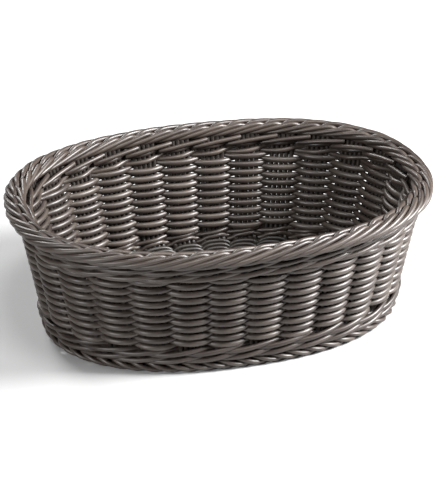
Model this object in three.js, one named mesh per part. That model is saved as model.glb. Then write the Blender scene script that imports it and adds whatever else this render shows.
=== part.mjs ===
// An oval bread basket woven from round plastic strand, in millimetres, +Z up.
// The origin is on the table under the middle of the basket, and the long side runs along X.

import * as THREE from 'three';

// Driving dimensions.
const RIM_LENGTH = 365;
const RIM_WIDTH = 259.5;
const RIM_TOP = 121.2;
const RIM_LIFT = 1.8;              // how much higher the rim runs at the two ends
const OVAL_POWER = 2.31;           // 2 would be a true ellipse, more is squarer
const STAKE_COUNT = 28;
const STAKE_START = 0.29;          // from +X to the first stake, in stake spacings
const STAKE_WIDTH = 17.5;
const STAKE_THICKNESS = 3.5;
const STAKE_TOP = 106.5;
const GAP = 0.3;                   // clearance between pieces that touch
const WEAVE_GAP = 0.8;             // clearance between a woven strand and a stake

// The wall's middle surface is a straight line from this oval up to that one.
const WALL_FOOT = { halfLength: 147.6, halfWidth: 96.3 };
const WALL_HEAD = { halfLength: 167, halfWidth: 114.2 };
const WALL_HEIGHT = 111.5;

// Rim border: a rolled band, wider than it is high.
const RIM_HALF_WIDTH = 9.7;
const RIM_HALF_HEIGHT = 7.2;
const RIM_SIDES = 8;

// Rows of plain weave and the thicker bands below and above them.
const ROW_COUNT = 19;
const ROW_PITCH = 3.63;
const FIRST_ROW_HEIGHT = 25.5;
const STRAND_RADIUS = (ROW_PITCH - GAP) / 2;
const STRAND_SIDES = 4;
const WALE_RADIUS = 3;
const WALE_SIDES = 6;
const LOWER_WALE_HEIGHTS = [13.2, 20];
const UPPER_WALE_HEIGHTS = [96, 102.8];
const STRAND_REACH = STAKE_WIDTH / 2 + 0.5;   // a strand stays flat this far each side of a stake

// Foot border: a flat-bottomed ring under the wall.
const FOOT_HEIGHT = 9.4;
const FOOT_INSIDE = 7;             // from the wall's foot oval inwards
const FOOT_OUTSIDE = 8.3;
const FOOT_EDGE = 2.5;

// Base: a mat of crossed sticks, stake ends fanning out of it, and woven rounds over them.
const BASE_MIDDLE_HEIGHT = 11.5;
const BEND_RADIUS = 6.5;
const MAT = { halfLength: 109.5, halfWidth: 60.5 };
const MAT_THICKNESS = 2 * STAKE_THICKNESS;
const MAT_EDGE = 1;
const MAT_GAP = 1;                 // from the mat's edge to the stake ends that come out of it
const FAN_LEAD = 3;                // a stake's straight lengths at the mat and before its bend
const FAN_PULL = 10;
const ROUND_COUNT = 3;
const ROUND_THICKNESS = 3;
const ROUND_FILL = 0.92;           // the rest is open space between two rounds
const INNER_ROUND = { halfLength: 111.5, halfWidth: 62.5 };
const OUTER_ROUND = { halfLength: 142, halfWidth: 93 };

const OVAL_STEPS = 56;
const UP = new THREE.Vector3(0, 0, 1);

const stakeMaterial = new THREE.MeshStandardMaterial({ color: 0x57504b, roughness: 0.45, metalness: 0 });
const weaveMaterial = new THREE.MeshStandardMaterial({ color: 0x655d57, roughness: 0.42, metalness: 0 });
const borderMaterial = new THREE.MeshStandardMaterial({ color: 0x6b635d, roughness: 0.4, metalness: 0 });
const baseMaterial = new THREE.MeshStandardMaterial({ color: 0x4f4843, roughness: 0.48, metalness: 0 });

// An oval between an ellipse and a rounded rectangle, anticlockwise from +X.
class Oval extends THREE.Curve {
  constructor({ halfLength, halfWidth, power = OVAL_POWER }) {
    super();
    this.halfLength = halfLength;
    this.halfWidth = halfWidth;
    this.power = power;
    this.arcLengthDivisions = 720;
  }

  getPoint(t, target = new THREE.Vector3()) {
    const along = Math.cos(2 * Math.PI * t);
    const across = Math.sin(2 * Math.PI * t);
    const x = this.halfLength * Math.sign(along) * Math.abs(along) ** (2 / this.power);
    const y = this.halfWidth * Math.sign(across) * Math.abs(across) ** (2 / this.power);
    return target.set(x, y, 0);
  }

  outline() {
    const points = this.getSpacedPoints(OVAL_STEPS).slice(0, OVAL_STEPS);
    return points.map((point) => new THREE.Vector2(point.x, point.y));
  }
}

// Straight runs through a list of corners, with one step of the parameter for each run.
class CornerPath extends THREE.Curve {
  constructor(corners, closed) {
    super();
    this.corners = corners;
    this.closed = closed;
    this.runs = closed ? corners.length : corners.length - 1;
  }

  getPoint(t, target = new THREE.Vector3()) {
    const place = this.closed ? (((t % 1) + 1) % 1) * this.runs : t * this.runs;
    const run = Math.min(Math.floor(place + 1e-9), this.runs - 1);
    const next = (run + 1) % this.corners.length;
    return target.lerpVectors(this.corners[run], this.corners[next], place - run);
  }

  getPointAt(t, target) {
    return this.getPoint(t, target);
  }

  getTangentAt(t, target = new THREE.Vector3()) {
    const step = 1e-4;
    const before = this.getPoint(this.closed ? t - step : Math.max(t - step, 0));
    const after = this.getPoint(this.closed ? t + step : Math.min(t + step, 1));
    return target.subVectors(after, before).normalize();
  }
}

const footOval = new Oval(WALL_FOOT);
const headOval = new Oval(WALL_HEAD);
const matOval = new Oval(MAT);

// Where each stake stands: its line up the wall, and the wall's directions there.
const stakes = Array.from({ length: STAKE_COUNT }, (unused, index) => {
  const share = (index + STAKE_START) / STAKE_COUNT;
  const foot = footOval.getPointAt(share);
  const head = headOval.getPointAt(share).setZ(WALL_HEIGHT);
  const along = footOval.getTangentAt(share).add(headOval.getTangentAt(share)).normalize();
  const outward = new THREE.Vector3().crossVectors(along, UP);
  const lift = RIM_LIFT * (head.x / WALL_HEAD.halfLength) ** 2;
  return { share, foot, head, along, outward, lift };
});

function pointOnStake(stake, height) {
  const share = (height + (stake.lift * height) / WALL_HEIGHT) / WALL_HEIGHT;
  return new THREE.Vector3().lerpVectors(stake.foot, stake.head, share);
}

function makePiece(name, geometry, material) {
  const mesh = new THREE.Mesh(geometry, material);
  mesh.name = name;
  return mesh;
}

// A closed strand that passes each stake at a chosen distance outside or inside the wall.
function makeStrandRing(height, radius, sides, offsetAtStake) {
  const corners = stakes.flatMap((stake, index) => {
    const middle = pointOnStake(stake, height).addScaledVector(stake.outward, offsetAtStake(index));
    return [-STRAND_REACH, STRAND_REACH].map((reach) => middle.clone().addScaledVector(stake.along, reach));
  });
  return new THREE.TubeGeometry(new CornerPath(corners, true), corners.length, radius, sides, true);
}

function makeWeaveRow(row) {
  const offset = STAKE_THICKNESS / 2 + WEAVE_GAP + STRAND_RADIUS;
  const height = FIRST_ROW_HEIGHT + row * ROW_PITCH;
  const side = (index) => ((row + index) % 2 === 0 ? offset : -offset);
  return makeStrandRing(height, STRAND_RADIUS, STRAND_SIDES, side);
}

function makeWale(height) {
  const flatRadius = WALE_RADIUS * Math.cos(Math.PI / WALE_SIDES);
  const offset = STAKE_THICKNESS / 2 + WEAVE_GAP + flatRadius;
  return makeStrandRing(height, WALE_RADIUS, WALE_SIDES, () => offset);
}

// A stake leaves the mat, fans out over the foot border, bends up and follows the wall.
function makeStake(stake) {
  const matPoint = matOval.getPointAt(stake.share).setZ(BASE_MIDDLE_HEIGHT);
  const matOutward = new THREE.Vector3().crossVectors(matOval.getTangentAt(stake.share), UP);
  const edge = matPoint.addScaledVector(matOutward, MAT_GAP);
  const corner = pointOnStake(stake, BASE_MIDDLE_HEIGHT);
  const bendStart = corner.clone().addScaledVector(stake.outward, -BEND_RADIUS).setZ(BASE_MIDDLE_HEIGHT);
  const bendEnd = pointOnStake(stake, BASE_MIDDLE_HEIGHT + BEND_RADIUS);
  const fanStart = edge.clone().addScaledVector(matOutward, FAN_LEAD);
  const fanEnd = bendStart.clone().addScaledVector(stake.outward, -FAN_LEAD);
  const fan = new THREE.CubicBezierCurve3(
    fanStart,
    fanStart.clone().addScaledVector(matOutward, FAN_PULL),
    fanEnd.clone().addScaledVector(stake.outward, -FAN_PULL),
    fanEnd,
  );
  const bend = new THREE.QuadraticBezierCurve3(bendStart, corner.setZ(BASE_MIDDLE_HEIGHT), bendEnd);
  const top = pointOnStake(stake, STAKE_TOP);
  const corners = [edge, ...fan.getPoints(4), ...bend.getPoints(3), top];
  const section = new THREE.Shape([
    new THREE.Vector2(-STAKE_THICKNESS / 2, -STAKE_WIDTH / 2),
    new THREE.Vector2(STAKE_THICKNESS / 2, -STAKE_WIDTH / 2),
    new THREE.Vector2(STAKE_THICKNESS / 2, STAKE_WIDTH / 2),
    new THREE.Vector2(-STAKE_THICKNESS / 2, STAKE_WIDTH / 2),
  ]);
  const extrudePath = new CornerPath(corners, false);
  return new THREE.ExtrudeGeometry(section, { steps: extrudePath.runs, extrudePath });
}

// A flat-topped ring between two outlines, from z = 0 upwards.
function makeBand(outer, inner, height, edge) {
  const shape = new THREE.Shape(outer);
  shape.holes.push(new THREE.Path(inner));
  const geometry = new THREE.ExtrudeGeometry(shape, {
    depth: height - 2 * edge,
    bevelEnabled: edge > 0,
    bevelThickness: edge,
    bevelSize: edge,
    bevelOffset: -edge,
    bevelSegments: 1,
  });
  return geometry.translate(0, 0, edge);
}

function makeFootBorder() {
  const [outer, inner] = [FOOT_OUTSIDE, -FOOT_INSIDE].map((offset) => new Oval({
    halfLength: WALL_FOOT.halfLength + offset,
    halfWidth: WALL_FOOT.halfWidth + offset,
  }).outline());
  return makeBand(outer, inner, FOOT_HEIGHT, FOOT_EDGE);
}

function roundOutline(share) {
  return new Oval({
    halfLength: THREE.MathUtils.lerp(INNER_ROUND.halfLength, OUTER_ROUND.halfLength, share),
    halfWidth: THREE.MathUtils.lerp(INNER_ROUND.halfWidth, OUTER_ROUND.halfWidth, share),
  }).outline();
}

function makeBaseRound(round) {
  const inner = roundOutline(round / ROUND_COUNT);
  const outer = roundOutline((round + ROUND_FILL) / ROUND_COUNT);
  return makeBand(outer, inner, ROUND_THICKNESS, 0);
}

function makeBaseMat() {
  const outline = new Oval({
    halfLength: MAT.halfLength - MAT_EDGE,
    halfWidth: MAT.halfWidth - MAT_EDGE,
  }).outline();
  return new THREE.ExtrudeGeometry(new THREE.Shape(outline), {
    depth: MAT_THICKNESS - 2 * MAT_EDGE,
    bevelThickness: MAT_EDGE,
    bevelSize: MAT_EDGE,
    bevelSegments: 1,
  });
}

function makeRimBorder() {
  const oval = new Oval({
    halfLength: RIM_LENGTH / 2 - RIM_HALF_WIDTH,
    halfWidth: RIM_WIDTH / 2 - RIM_HALF_WIDTH,
  });
  const flattening = RIM_HALF_HEIGHT / RIM_HALF_WIDTH;
  const corners = oval.getSpacedPoints(OVAL_STEPS).slice(0, OVAL_STEPS);
  for (const corner of corners) {
    corner.z = (RIM_LIFT * (corner.x / oval.halfLength) ** 2) / flattening;
  }
  const path = new CornerPath(corners, true);
  const geometry = new THREE.TubeGeometry(path, corners.length, RIM_HALF_WIDTH, RIM_SIDES, true);
  return geometry.scale(1, 1, flattening);
}

const basket = new THREE.Group();
const twoDigits = (number) => String(number).padStart(2, '0');

// Base: mat, then the rounds woven over the stake ends.
const mat = makePiece('base_mat', makeBaseMat(), baseMaterial.clone());
mat.position.z = BASE_MIDDLE_HEIGHT - MAT_THICKNESS / 2 + MAT_EDGE;
basket.add(mat);
const roundHeight = BASE_MIDDLE_HEIGHT + STAKE_THICKNESS / 2 + GAP;
for (let round = 0; round < ROUND_COUNT; round += 1) {
  const piece = makePiece(`base_round_${round + 1}`, makeBaseRound(round), baseMaterial.clone());
  piece.position.z = roundHeight;
  basket.add(piece);
}

// Foot border.
basket.add(makePiece('foot_border', makeFootBorder(), borderMaterial.clone()));

// Stakes.
stakes.forEach((stake, index) => {
  const name = `stake_${twoDigits(index + 1)}`;
  basket.add(makePiece(name, makeStake(stake), stakeMaterial.clone()));
});

// Bands of thicker weave low and high on the wall, with the plain rows between.
LOWER_WALE_HEIGHTS.forEach((height, index) => {
  basket.add(makePiece(`lower_wale_${index + 1}`, makeWale(height), weaveMaterial.clone()));
});
for (let row = 0; row < ROW_COUNT; row += 1) {
  basket.add(makePiece(`weave_row_${twoDigits(row + 1)}`, makeWeaveRow(row), weaveMaterial.clone()));
}
UPPER_WALE_HEIGHTS.forEach((height, index) => {
  basket.add(makePiece(`upper_wale_${index + 1}`, makeWale(height), weaveMaterial.clone()));
});

// Rim border.
const rim = makePiece('rim_border', makeRimBorder(), borderMaterial.clone());
rim.position.z = RIM_TOP - RIM_HALF_HEIGHT;
basket.add(rim);

export default basket;
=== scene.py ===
import math
import random

import bmesh
import bpy
import numpy as np
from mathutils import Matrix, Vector


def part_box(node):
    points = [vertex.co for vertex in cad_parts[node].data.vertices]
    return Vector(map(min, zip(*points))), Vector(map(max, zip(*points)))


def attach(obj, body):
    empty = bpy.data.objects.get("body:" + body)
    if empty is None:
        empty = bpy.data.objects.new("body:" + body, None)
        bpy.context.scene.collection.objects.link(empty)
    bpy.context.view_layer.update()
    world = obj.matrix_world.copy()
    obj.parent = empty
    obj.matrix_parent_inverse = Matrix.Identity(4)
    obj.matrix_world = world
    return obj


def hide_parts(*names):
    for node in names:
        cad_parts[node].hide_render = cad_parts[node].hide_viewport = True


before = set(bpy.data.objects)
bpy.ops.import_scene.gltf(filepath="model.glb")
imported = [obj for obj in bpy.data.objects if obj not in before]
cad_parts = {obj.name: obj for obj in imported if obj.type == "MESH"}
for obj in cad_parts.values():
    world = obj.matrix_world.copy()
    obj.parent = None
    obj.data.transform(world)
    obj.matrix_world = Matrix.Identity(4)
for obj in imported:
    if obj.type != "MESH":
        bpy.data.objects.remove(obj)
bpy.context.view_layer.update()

random.seed(28)

# ---------------------------------------------------------------------------------------------
# Stakes. The basket stands on 28 upright bundles of five round rods, cut from extruded
# polypropylene strand. Each bundle comes out of the base mat, bends up over the foot border
# and runs up the middle of the wall to the rim.

STAKE_COUNT = 28
STAKE_START = 0.29              # from +X to the first stake, in stake spacings
OVAL_POWER = 2.31               # 2 would be a true ellipse, more is squarer
WALL_FOOT = (0.1476, 0.0963)    # half length and half width of the wall's middle surface at z = 0
WALL_HEAD = (0.167, 0.1142)     # the same at WALL_HEIGHT
WALL_HEIGHT = 0.1115
ROD_RADIUS = 0.00222
ROD_PITCH = 0.0044
RODS_IN_STAKE = 5
BUNDLE_SQUEEZE = 0.8            # the rods close up where they leave the mat
ROD_TUCK = 0.004                # how far a rod runs in under the mat's edge
ROD_BOW = 0.0001                # how far a rod may bow sideways
BEND_RADIUS = 0.0065
FLOOR_POINTS = 9                # along a rod, from the mat to the bend
WALL_POINTS = 10                # and from the bend to the top
ROD_RUN_ON = 0.003              # how far the rods run on into the rim, past the plain bars
STRAND_SIDES = 10
OVAL_STEPS = 2880

SIDE_REACH = 0.02               # the middle of a long side, where the wall is lowest
rim_low, rim_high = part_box("rim_border")
side_rim_top = max(
    v.co.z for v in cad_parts["rim_border"].data.vertices if abs(v.co.x) < SIDE_REACH
)
RIM_LIFT = rim_high.z - side_rim_top
mat_low, mat_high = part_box("base_mat")
BASE_HEIGHT = (mat_low.z + mat_high.z) / 2


def make_oval(half_length, half_width):
    """Returns a function from the share of the way round to the point there."""
    angle = np.linspace(0, 2 * np.pi, OVAL_STEPS + 1)
    along, across = np.cos(angle), np.sin(angle)
    x = half_length * np.sign(along) * np.abs(along) ** (2 / OVAL_POWER)
    y = half_width * np.sign(across) * np.abs(across) ** (2 / OVAL_POWER)
    run = np.concatenate(([0], np.cumsum(np.hypot(np.diff(x), np.diff(y)))))

    def point_at(share):
        place = (share % 1.0) * run[-1]
        return Vector((np.interp(place, run, x), np.interp(place, run, y), 0))

    return point_at


def share_of(turn):
    """The share of the way round at a place counted in stakes."""
    return (turn + STAKE_START) / STAKE_COUNT


def outward_at(oval, share):
    """The level direction straight out of an oval."""
    step = 0.002
    along = (oval(share + step) - oval(share - step)).normalized()
    return Vector((along.y, -along.x, 0))


foot_oval = make_oval(*WALL_FOOT)
head_oval = make_oval(*WALL_HEAD)
mat_oval = make_oval(mat_high.x, mat_high.y)


def wall_point(turn, height, offset=0.0):
    """The place on the wall at so many stakes round and so high, moved out by offset."""
    share = share_of(turn)
    head = head_oval(share)
    lift = RIM_LIFT * (head.x / WALL_HEAD[0]) ** 2
    rise = height / WALL_HEIGHT
    point = foot_oval(share).lerp(head, rise * (1 + lift / WALL_HEIGHT))
    point.z = height + lift * rise
    return point + outward_at(head_oval, share) * offset


def smooth_cycle(values, place):
    """A smooth curve through evenly spaced values that repeat, at any place along them."""
    count = len(values)
    start = math.floor(place)
    t = place - start
    a, b, c, d = (values[(start + k) % count] for k in (-1, 0, 1, 2))
    return 0.5 * (
        2 * b + (c - a) * t + (2 * a - 5 * b + 4 * c - d) * t**2
        + (3 * b - a - 3 * c + d) * t**3
    )


def strand_mesh(points, radius, closed=False, squeeze=None):
    """One round strand along points. squeeze(k) gives its width and height factors at point k."""
    count = len(points)
    tone_value = random.random()
    start = random.uniform(0, 5)
    bm = bmesh.new()
    grain = bm.verts.layers.float_vector.new("grain")
    tone = bm.verts.layers.float.new("tone")
    ring = bmesh.ops.create_circle(bm, segments=STRAND_SIDES, radius=1)["verts"]
    for vert in ring:
        vert[grain] = vert.co
        vert[tone] = tone_value
    edges = first_edges = bm.edges[:]
    across = None
    length = 0.0
    for k in range(count):
        before = points[k - 1] if closed or k else points[0]
        after = points[(k + 1) % count] if closed or k < count - 1 else points[-1]
        along = (after - before).normalized()
        if closed or across is None:
            side = along.cross(Vector((0, 0, 1)))
        else:
            side = across - along * across.dot(along)
        across = side.normalized()
        above = across.cross(along)
        if k:
            made = bmesh.ops.extrude_edge_only(bm, edges=edges)["geom"]
            ring = [part for part in made if isinstance(part, bmesh.types.BMVert)]
            edges = [
                part for part in made if isinstance(part, bmesh.types.BMEdge) and part.is_boundary
            ]
            length += (points[k] - points[k - 1]).length
        wide, high = squeeze(k) if squeeze else (1, 1)
        for vert in ring:
            angle_x, angle_y, _ = vert[grain]
            spot = across * (angle_x * wide) + above * (angle_y * high)
            vert.co = points[k] + spot * radius
            vert[grain] = (angle_x, angle_y, start + length / radius)
    if closed:
        bmesh.ops.bridge_loops(bm, edges=edges + first_edges)
    else:
        for end in (edges, first_edges):
            for edge in end:
                edge.smooth = False
            bmesh.ops.edgeloop_fill(bm, edges=end)
    bmesh.ops.recalc_face_normals(bm, faces=bm.faces)
    for face in bm.faces:
        face.smooth = True
    mesh = bpy.data.meshes.new("strand")
    bm.to_mesh(mesh)
    bm.free()
    return mesh


def make_piece(name, strands, material, *nodes):
    """Joins strands into one piece that stands for the CAD nodes."""
    bm = bmesh.new()
    for strand in strands:
        bm.from_mesh(strand)
        bpy.data.meshes.remove(strand)
    mesh = bpy.data.meshes.new(name)
    bm.to_mesh(mesh)
    bm.free()
    mesh.materials.append(material)
    piece = bpy.data.objects.new(name, mesh)
    bpy.context.scene.collection.objects.link(piece)
    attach(piece, "root")
    if nodes:
        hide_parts(*nodes)
    return piece


def to_linear(code):
    """A hex sRGB colour as linear red, green, blue and alpha, by the standard curve."""
    channels = [int(code[k : k + 2], 16) / 255 for k in (1, 3, 5)]
    linear = [c / 12.92 if c <= 0.04045 else ((c + 0.055) / 1.055) ** 2.4 for c in channels]
    return (*linear, 1)


def add_node(material, kind, inputs=None, **settings):
    """Adds a node; an input given as a socket is linked, and any other is set."""
    tree = material.node_tree
    node = tree.nodes.new(kind)
    for name, value in settings.items():
        setattr(node, name, value)
    for name, value in (inputs or {}).items():
        if isinstance(value, bpy.types.NodeSocket):
            tree.links.new(value, node.inputs[name])
        else:
            node.inputs[name].default_value = value
    return node


LINE_STRETCH = (2.2, 2.2, 0.05)  # draw lines run along the strand; real ones are finer than this
PATCH_STRETCH = (0.3, 0.3, 0.06)  # slow changes of shade along a strand


def make_strand_material(name, dark, light, roughness):
    """Extruded polypropylene strand: satin, dyed through, with faint draw lines along it. The
    darker colours given for the stakes and the base are painted shade.
    """
    material = bpy.data.materials.new(name)
    material.use_nodes = True
    material.node_tree.nodes.clear()
    grain = add_node(material, "ShaderNodeAttribute", attribute_name="grain").outputs["Vector"]
    tone = add_node(material, "ShaderNodeAttribute", attribute_name="tone").outputs["Fac"]
    lines = add_node(
        material, "ShaderNodeVectorMath", {0: grain, 1: LINE_STRETCH}, operation="MULTIPLY"
    ).outputs["Vector"]
    streak = add_node(
        material, "ShaderNodeTexNoise", {"Vector": lines, "Scale": 2.0, "Detail": 3.0}
    ).outputs["Fac"]
    patches = add_node(
        material, "ShaderNodeVectorMath", {0: grain, 1: PATCH_STRETCH}, operation="MULTIPLY"
    ).outputs["Vector"]
    patch = add_node(
        material, "ShaderNodeTexNoise", {"Vector": patches, "Scale": 1.0, "Detail": 2.0}
    ).outputs["Fac"]
    mixed = add_node(
        material, "ShaderNodeMath", {0: tone, 1: 0.45, 2: patch}, operation="MULTIPLY_ADD"
    ).outputs["Value"]
    shade = add_node(
        material, "ShaderNodeMath", {0: streak, 1: 0.5, 2: mixed}, operation="MULTIPLY_ADD"
    ).outputs["Value"]
    share = add_node(
        material,
        "ShaderNodeMapRange",
        {"Value": shade, "From Min": 0.55, "From Max": 1.4},
    ).outputs["Result"]
    color = add_node(           # its colour inputs are 6 and 7 and its colour output is 2
        material,
        "ShaderNodeMix",
        {"Factor": share, 6: to_linear(dark), 7: to_linear(light)},
        data_type="RGBA",
    )
    rough = add_node(
        material,
        "ShaderNodeMapRange",
        {"Value": streak, "To Min": roughness - 0.06, "To Max": roughness + 0.1},
    ).outputs["Result"]
    bump = add_node(
        material, "ShaderNodeBump", {"Height": streak, "Strength": 0.12, "Distance": 0.0002}
    ).outputs["Normal"]
    shader = add_node(
        material,
        "ShaderNodeBsdfPrincipled",
        {"Base Color": color.outputs[2], "Roughness": rough, "IOR": 1.52, "Normal": bump},
    )
    add_node(material, "ShaderNodeOutputMaterial", {"Surface": shader.outputs["BSDF"]})
    return material


# The stake rods are the same strand as the weave. Their darker colours are painted shade for the
# gaps between strands, where the rods lie in shadow.
stake_strand_painted_shade = make_strand_material("stake_polypropylene_painted_shade", "#120e0c", "#2c2520", 0.42)
STAKE_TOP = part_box("stake_08")[1].z + ROD_RUN_ON   # stake_08 is in the middle of a long side


def blend(points, t):
    """The point at t on the smooth curve that a few points pull."""
    while len(points) > 1:
        points = [a.lerp(b, t) for a, b in zip(points, points[1:])]
    return points[0]


def rod_path(turn, side):
    """From the mat's edge out over the foot border, round the bend and up the wall."""
    share = share_of(turn)
    outward = outward_at(head_oval, share)
    along = Vector((-outward.y, outward.x, 0))
    mat_point = mat_oval(share)
    mat_outward = outward_at(mat_oval, share)
    mat_along = Vector((-mat_outward.y, mat_outward.x, 0))
    corner = wall_point(turn, BASE_HEIGHT) + along * side
    corner.z = BASE_HEIGHT
    start = mat_point - mat_outward * ROD_TUCK + mat_along * (side * BUNDLE_SQUEEZE)
    start.z = BASE_HEIGHT
    end = corner - outward * BEND_RADIUS
    pull = (end - start).length / 3
    floor_run = (start, start + mat_outward * pull, end - outward * pull, end)
    points = [blend(floor_run, t) for t in np.linspace(0, 1, FLOOR_POINTS)]
    top_of_bend = wall_point(turn, BASE_HEIGHT + BEND_RADIUS) + along * side
    for t in (0.25, 0.5, 0.75, 1.0):
        points.append(blend((end, corner, top_of_bend), t))
    bow = random.uniform(-ROD_BOW, ROD_BOW)
    heights = np.linspace(BASE_HEIGHT + BEND_RADIUS, STAKE_TOP, WALL_POINTS)[1:]
    for height in heights:
        sway = bow * math.sin(math.pi * (height - heights[0]) / (STAKE_TOP - heights[0]))
        points.append(wall_point(turn, height) + along * (side + sway))
    return points


for stake in range(STAKE_COUNT):
    rods = []
    for rod in range(RODS_IN_STAKE):
        side = (rod - (RODS_IN_STAKE - 1) / 2) * ROD_PITCH
        rods.append(strand_mesh(rod_path(stake, side), ROD_RADIUS))
    name = f"stake_{stake + 1:02d}"
    piece = make_piece(f"{name}_rods", rods, stake_strand_painted_shade, name)

# ---------------------------------------------------------------------------------------------
# Base mat. The middle of the base is a plain weave of flat bundles, like the stakes, that
# cross each other over and under; the woven rounds around it hide its edge.

MAT_STICK_PITCH = 0.019
MAT_ROD_RADIUS = 0.0017
MAT_ROD_PITCH = 0.0036
MAT_REACH_POWER = 2.4
MAT_EDGE = 0.97                 # rods nearer the edge than this share would be too short to weave
MAT_STEP = 0.0024               # spacing of the points along a rod
MAT_GAP = 0.0002                # kept from a rod to the middle of the weave
MAT_SQUARENESS = 2              # more makes a rod lie flat for longer between crossings
# The base is the same strand as the wall. Its darker colours are painted shade for the shadowed
# bottom inside the basket.
base_strand_painted_shade = make_strand_material("base_polypropylene_painted_shade", "#171310", "#2a2521", 0.46)


def square_off(wave, squareness):
    """A wave between -1 and 1 that stays longer near its two limits."""
    return math.tanh(squareness * wave) / math.tanh(squareness)


def mat_stick(place, side, half_reach, lengthwise, parity):
    """One rod of a stick that weaves over and under the sticks that cross it."""
    swing = MAT_ROD_RADIUS + MAT_GAP
    points = []
    steps = max(4, int(2 * half_reach / MAT_STEP))
    for k in range(steps + 1):
        run = -half_reach + 2 * half_reach * k / steps
        wave = math.cos(math.pi * (run / MAT_STICK_PITCH + parity))
        level = BASE_HEIGHT + swing * square_off(wave, MAT_SQUARENESS)
        across = place + side
        points.append(Vector((run, across, level) if lengthwise else (across, run, level)))
    return points


mat_rods = []
for lengthwise in (True, False):
    limit = mat_high.y if lengthwise else mat_high.x
    reach = mat_high.x if lengthwise else mat_high.y
    sticks = int(limit / MAT_STICK_PITCH)
    for number in range(-sticks, sticks + 1):
        place = number * MAT_STICK_PITCH
        for rod in range(RODS_IN_STAKE):
            side = (rod - (RODS_IN_STAKE - 1) / 2) * MAT_ROD_PITCH
            share = abs(place + side) / limit
            if share >= MAT_EDGE:
                continue
            half_reach = reach * (1 - share**MAT_REACH_POWER) ** (1 / MAT_REACH_POWER)
            parity = number + (0 if lengthwise else 1)
            mat_rods.append(
                strand_mesh(mat_stick(place, side, half_reach, lengthwise, parity), MAT_ROD_RADIUS)
            )
piece = make_piece("base_mat_weave", mat_rods, base_strand_painted_shade, "base_mat")

# ---------------------------------------------------------------------------------------------
# Base rounds. Single strands run round the mat, over one stake and under the next, until the
# base is as wide as the wall; they are packed close, three to each round.

ROUND_STRANDS = 3
ROUND_RADIUS = 0.0017
ROUND_GAP = 0.0001              # kept between a strand and the rods
ROUND_SWING = ROD_RADIUS + ROUND_RADIUS + ROUND_GAP
ROUND_SQUARENESS = 1.8
ROUND_COUNT = 3
ROUND_EDGE = 0.005              # from the last round to the wall's middle
STEPS_PER_STAKE = 8

row_count = 0
for number in range(ROUND_COUNT):
    strands = []
    for strand in range(ROUND_STRANDS):
        share = (row_count + 0.5) / (ROUND_COUNT * ROUND_STRANDS)
        points = []
        for k in range(STAKE_COUNT * STEPS_PER_STAKE):
            turn = k / STEPS_PER_STAKE
            inner = mat_oval(share_of(turn))
            outer = wall_point(turn, 0.0) - outward_at(head_oval, share_of(turn)) * ROUND_EDGE
            point = inner.lerp(outer, share)
            wave = math.cos(math.pi * (turn + row_count))
            point.z = BASE_HEIGHT + ROUND_SWING * square_off(wave, ROUND_SQUARENESS)
            points.append(point)
        strands.append(strand_mesh(points, ROUND_RADIUS, closed=True))
        row_count += 1
    node = f"base_round_{number + 1}"
    piece = make_piece(f"{node}_strands", strands, base_strand_painted_shade, node)

# ---------------------------------------------------------------------------------------------
# Foot border. Under the wall, short strands are tucked in beneath the lowest wale, laid down
# to the right over the outside and folded in under the basket, two to each stake.

FOOT_MIDDLE = (0.0, 0.0053)      # out from the wall's foot, and up
FOOT_HALF = (0.0067, 0.0034)     # half width and half height of the path round the border
FOOT_RADIUS = 0.0019
FOOT_START = math.radians(105)
FOOT_SWEEP = math.radians(-275)
FOOT_RUN = 1.8                   # stake spacings that each strand covers
FOOT_STEPS = 26
border_strand = make_strand_material("border_polypropylene_strand", "#221a16", "#443b35", 0.41)


def foot_path(turn):
    points = []
    for k in range(FOOT_STEPS + 1):
        t = k / FOOT_STEPS
        angle = FOOT_START + FOOT_SWEEP * t
        out = FOOT_MIDDLE[0] + FOOT_HALF[0] * math.cos(angle)
        up = FOOT_MIDDLE[1] + FOOT_HALF[1] * math.sin(angle)
        points.append(wall_point(turn + FOOT_RUN * t, max(up, FOOT_RADIUS), out))
    return points


strands = [strand_mesh(foot_path(k / 2), FOOT_RADIUS) for k in range(2 * STAKE_COUNT)]
piece = make_piece("foot_border_plait", strands, border_strand, "foot_border")

# ---------------------------------------------------------------------------------------------
# Wales. Two thick bands start the wall and two finish it. In each, three strands pass outside
# two stakes and inside the third, and climb over one another, so the band looks like a flat
# rope. One long strand that goes round three times stands for the three.

WALE_RADIUS = 0.00215
WALE_OUT = (-0.0044, 0.0006, 0.0048, 0.0068, 0.0054, 0.0010)   # at each half stake
WALE_UP = (0.0, -0.0018, -0.0018, -0.0002, 0.0017, 0.0019)
WALE_LIFTS = {"lower_wale": (0.0045, 0.001), "upper_wale": (0.0, 0.0)}   # inside, for 1 and 2
WALE_LIFT_DEPTH = 0.003          # how far inside the wall the lift is complete
WALE_TURNS = 3
WALE_STEPS = 8
wale_strand = make_strand_material("wale_polypropylene_strand", "#221a16", "#433a34", 0.41)


def wale_points(height, inside_lift, start):
    points = []
    for k in range(WALE_TURNS * STAKE_COUNT * WALE_STEPS):
        turn = k / WALE_STEPS
        out = smooth_cycle(WALE_OUT, turn * 2)
        up = smooth_cycle(WALE_UP, turn * 2)
        if out < 0:
            up += inside_lift * min(1, -out / WALE_LIFT_DEPTH)
        points.append(wall_point(turn + start, height + up, out))
    return points


for band, inside_lifts in WALE_LIFTS.items():
    for number in (1, 2):
        node = f"{band}_{number}"
        side = [v.co.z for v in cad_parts[node].data.vertices if abs(v.co.x) < SIDE_REACH]
        height = (min(side) + max(side)) / 2
        points = wale_points(height, inside_lifts[number - 1], number - 1)
        strands = [strand_mesh(points, WALE_RADIUS, closed=True)]
        piece = make_piece(f"{node}_strands", strands, wale_strand, node)

# ---------------------------------------------------------------------------------------------
# Rows of plain weave. Each row is a single strand that runs outside one stake and inside the
# next, and the next row does the opposite. Strands flatten a little where two of them cross.

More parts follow.
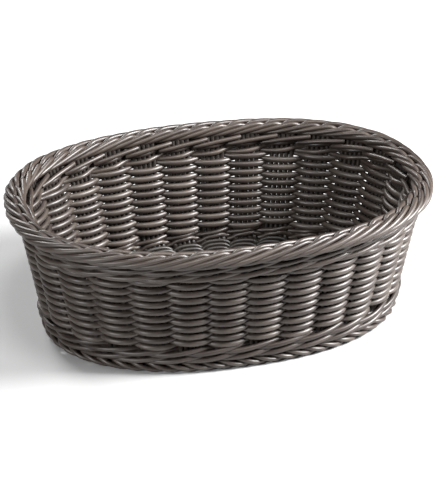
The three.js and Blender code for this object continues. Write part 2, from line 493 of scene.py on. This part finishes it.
WEAVE_RADIUS = 0.00245
WEAVE_SWING = 0.0047            # how far a strand bulges out at the middle of a stake
WEAVE_SQUARENESS = 1.0          # 0 is a plain wave, more hugs the flat stake longer
CROSSING_HEIGHT = 0.78          # how flat a strand is where two cross, as a share of its height
OUTSIDE_HEIGHT = 1.03
INSIDE_HEIGHT = 1.14            # looser inside, where the wall's lean opens the rows
ROW_WOBBLE = 0.00025            # how far a row strays up or down
ROW_COUNT = 19
weave_strand = make_strand_material("weave_polypropylene_strand", "#221915", "#48403a", 0.42)


def flatten(swing):
    """Width and height factors where a strand has swung so far out of the wall, or into it."""
    full = OUTSIDE_HEIGHT if swing > 0 else INSIDE_HEIGHT
    return 1.0, CROSSING_HEIGHT + (full - CROSSING_HEIGHT) * min(1, 2 * abs(swing))


for row in range(ROW_COUNT):
    node = f"weave_row_{row + 1:02d}"
    side = [v.co.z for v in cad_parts[node].data.vertices if abs(v.co.x) < SIDE_REACH]
    height = (min(side) + max(side)) / 2
    wobble = [random.uniform(-ROW_WOBBLE, ROW_WOBBLE) for _ in range(STAKE_COUNT)]
    swings = [
        square_off(math.cos(math.pi * (k / STEPS_PER_STAKE + row)), WEAVE_SQUARENESS)
        for k in range(STAKE_COUNT * STEPS_PER_STAKE)
    ]
    points = [
        wall_point(
            k / STEPS_PER_STAKE,
            height + smooth_cycle(wobble, k / STEPS_PER_STAKE),
            WEAVE_SWING * swing,
        )
        for k, swing in enumerate(swings)
    ]
    strand = strand_mesh(points, WEAVE_RADIUS, closed=True, squeeze=lambda k: flatten(swings[k]))
    piece = make_piece(f"{node}_strand", [strand], weave_strand, node)

# ---------------------------------------------------------------------------------------------
# Rim border. The stake ends are rolled into a rope: each strand leaves the wall low on the
# outside, climbs slowly over the rope as it runs to the right, dips into the groove along the
# top, and drops over the inside. Filler rods run round inside and just under the rope.

RIM_STRAND_RADIUS = 0.00215
RIM_HALF_WIDTH = 0.0097
RIM_HALF = (
    (rim_high.z - rim_low.z - RIM_LIFT) / 2 - RIM_STRAND_RADIUS,
    RIM_HALF_WIDTH - RIM_STRAND_RADIUS,
)
RIM_MIDDLE = side_rim_top - RIM_HALF[0] - RIM_STRAND_RADIUS
rim_oval = make_oval(rim_high.x - RIM_HALF_WIDTH, rim_high.y - RIM_HALF_WIDTH)
RIM_START = math.radians(-75)   # low on the outside
RIM_GROOVE = math.radians(102)  # just inside the top
RIM_END = math.radians(252)     # low on the inside
RIM_RUN = 3.8                   # stake spacings from start to end
RIM_GROOVE_DEPTH = 0.0034
RIM_GROOVE_WIDTH = math.radians(11)
RIM_TUCK = 0.0018               # how far the two ends of a strand sink into the rope
RIM_TUCK_SHARE = 0.08           # the share of the strand that does so at each end
RIM_SLACK = (-0.0001, 0.0005)   # how deep in the rope a strand lies, by chance
RIM_LEAN = 0.04                 # how far round it strays, in stake spacings
RIM_STEPS = 56


def rim_point(turn, angle, depth=0.0):
    """A place on the rope's surface; angle runs from outside (0) over the top (90 degrees)."""
    share = share_of(turn)
    middle = rim_oval(share)
    lift = RIM_LIFT * (middle.x / rim_high.x) ** 2
    point = middle + outward_at(rim_oval, share) * ((RIM_HALF[1] - depth) * math.cos(angle))
    point.z = RIM_MIDDLE + lift + (RIM_HALF[0] - depth) * math.sin(angle)
    return point


def rim_path(turn):
    slack = random.uniform(*RIM_SLACK)
    lean = random.uniform(-RIM_LEAN, RIM_LEAN)
    points = []
    for k in range(RIM_STEPS + 1):
        t = k / RIM_STEPS
        angle = RIM_START + (RIM_END - RIM_START) * t
        dip = RIM_GROOVE_DEPTH * math.exp(-(((angle - RIM_GROOVE) / RIM_GROOVE_WIDTH) ** 2))
        tuck = RIM_TUCK * max(0, 1 - min(t, 1 - t) / RIM_TUCK_SHARE)
        points.append(rim_point(turn + lean + RIM_RUN * t, angle, slack + dip + tuck))
    return points


strands = [strand_mesh(rim_path(k / 2), RIM_STRAND_RADIUS) for k in range(2 * STAKE_COUNT)]
piece = make_piece("rim_border_rope", strands, border_strand, "rim_border")

FILLER_RADIUS = 0.0021
FILLER_PLACES = ((-0.0026, -0.0016), (0.0026, -0.0016), (0.0, 0.0008))   # out, and up
UNDER_FILLER = (0.1078, 0.0046)  # height on the wall, and out
FILLER_STEPS = 4                # to each stake

filler_turns = [k / FILLER_STEPS for k in range(STAKE_COUNT * FILLER_STEPS)]
fillers = []
for out, up in FILLER_PLACES:
    points = []
    for turn in filler_turns:
        share = share_of(turn)
        middle = rim_oval(share)
        point = middle + outward_at(rim_oval, share) * out
        point.z = RIM_MIDDLE + up + RIM_LIFT * (middle.x / rim_high.x) ** 2
        points.append(point)
    fillers.append(strand_mesh(points, FILLER_RADIUS, closed=True))
points = [wall_point(turn, *UNDER_FILLER) for turn in filler_turns]
fillers.append(strand_mesh(points, FILLER_RADIUS, closed=True))
# The filler rods take the stake colours, with the same painted shade.
piece = make_piece("rim_filler_rods", fillers, stake_strand_painted_shade)

# ---------------------------------------------------------------------------------------------
# Border tails. Inside, just under the rim, one rod of every stake comes out of the wall, leans
# to the right over the bundle, passes above the next tail and ends in a square cut.

TAIL_RADIUS = 0.002
TAIL_PLACES = (                 # stake spacings round, height, and way out of the wall
    (0.55, 0.1030, -0.0030), (0.30, 0.1048, -0.0056), (0.0, 0.1066, -0.0066),
    (-0.30, 0.1080, -0.0066), (-0.60, 0.1090, -0.0056), (-0.80, 0.1094, -0.0038),
)
TAIL_REACH = 0.03               # how far round its end strays, in stake spacings
TAIL_STEPS = 5                  # from each place to the next


def tail_path(turn, places):
    """A smooth path through places, each given in stake spacings, height and way out."""
    rows = [places[0], *places, places[-1]]
    points = []
    for a, b, c, d in zip(rows, rows[1:], rows[2:], rows[3:]):
        for t in np.linspace(0, 1, TAIL_STEPS, endpoint=False):
            place = [smooth_cycle(values, 1 + t) for values in zip(a, b, c, d)]
            points.append(wall_point(turn + place[0], place[1], place[2]))
    points.append(wall_point(turn + places[-1][0], *places[-1][1:]))
    return points


tails = []
last = len(TAIL_PLACES) - 1
for stake in range(STAKE_COUNT):
    reach = random.uniform(-TAIL_REACH, TAIL_REACH)
    loose = [(a + reach * k / last, b, c) for k, (a, b, c) in enumerate(TAIL_PLACES)]
    tails.append(strand_mesh(tail_path(stake, loose), TAIL_RADIUS))
piece = make_piece("rim_border_tails", tails, border_strand)

# ---------------------------------------------------------------------------------------------
# Floor, light and camera. A flat pale floor under soft studio light that comes mainly from
# the right and above.

FLOOR_SIZE = 3.0
STUDIO_AIM = (0, 0, 0.05)
SOFTBOXES = (                   # name, place, width and height, watts
    ("key_softbox", (1.25, -0.42, 0.95), (0.5, 0.5), 112),
    ("left_softbox", (-1.25, -0.8, 0.85), (0.4, 0.5), 21),
    ("top_softbox", (0.0, -0.45, 1.6), (0.5, 0.3), 15),
    ("back_softbox", (-0.5, 1.4, 1.1), (0.6, 0.6), 30),
)
CAMERA_PLACE = (-0.3304, -1.2203, 0.7401)
CAMERA_AIM = (-0.0021, 0.0006, 0.0576)
CAMERA_LENS = 121.4             # millimetres
CAMERA_SENSOR = 36              # the same, across the width
floor_mesh = bpy.data.meshes.new("studio_floor")
bm = bmesh.new()
bmesh.ops.create_grid(bm, x_segments=1, y_segments=1, size=FLOOR_SIZE)
bm.to_mesh(floor_mesh)
bm.free()
floor = bpy.data.objects.new("studio_floor", floor_mesh)
bpy.context.scene.collection.objects.link(floor)
paper = bpy.data.materials.new("white_paper")
paper.use_nodes = True
surface = paper.node_tree.nodes["Principled BSDF"].inputs
surface["Base Color"].default_value = to_linear("#a8a8a8")
surface["Roughness"].default_value = 0.8
floor_mesh.materials.append(paper)

world = bpy.data.worlds.new("studio")
world.use_nodes = True
sky = world.node_tree.nodes["Background"].inputs
sky["Color"].default_value = (1, 1, 1, 1)
sky["Strength"].default_value = 0.015
bpy.context.scene.world = world


def add_softbox(name, place, size, power):
    light = bpy.data.lights.new(name, "AREA")
    light.shape = "RECTANGLE"
    light.size, light.size_y = size
    light.energy = power
    lamp = bpy.data.objects.new(name, light)
    lamp.location = place
    aim = Vector(STUDIO_AIM) - Vector(place)
    lamp.rotation_euler = aim.to_track_quat("-Z", "Y").to_euler()
    bpy.context.scene.collection.objects.link(lamp)


for softbox in SOFTBOXES:
    add_softbox(*softbox)

camera_data = bpy.data.cameras.new("camera")
camera_data.lens = CAMERA_LENS
camera_data.sensor_width = CAMERA_SENSOR
camera = bpy.data.objects.new("camera", camera_data)
camera.location = CAMERA_PLACE
aim = Vector(CAMERA_AIM) - camera.location
camera.rotation_euler = aim.to_track_quat("-Z", "Y").to_euler()
bpy.context.scene.collection.objects.link(camera)
bpy.context.scene.camera = camera
bpy.context.scene.view_settings.view_transform = "Standard"
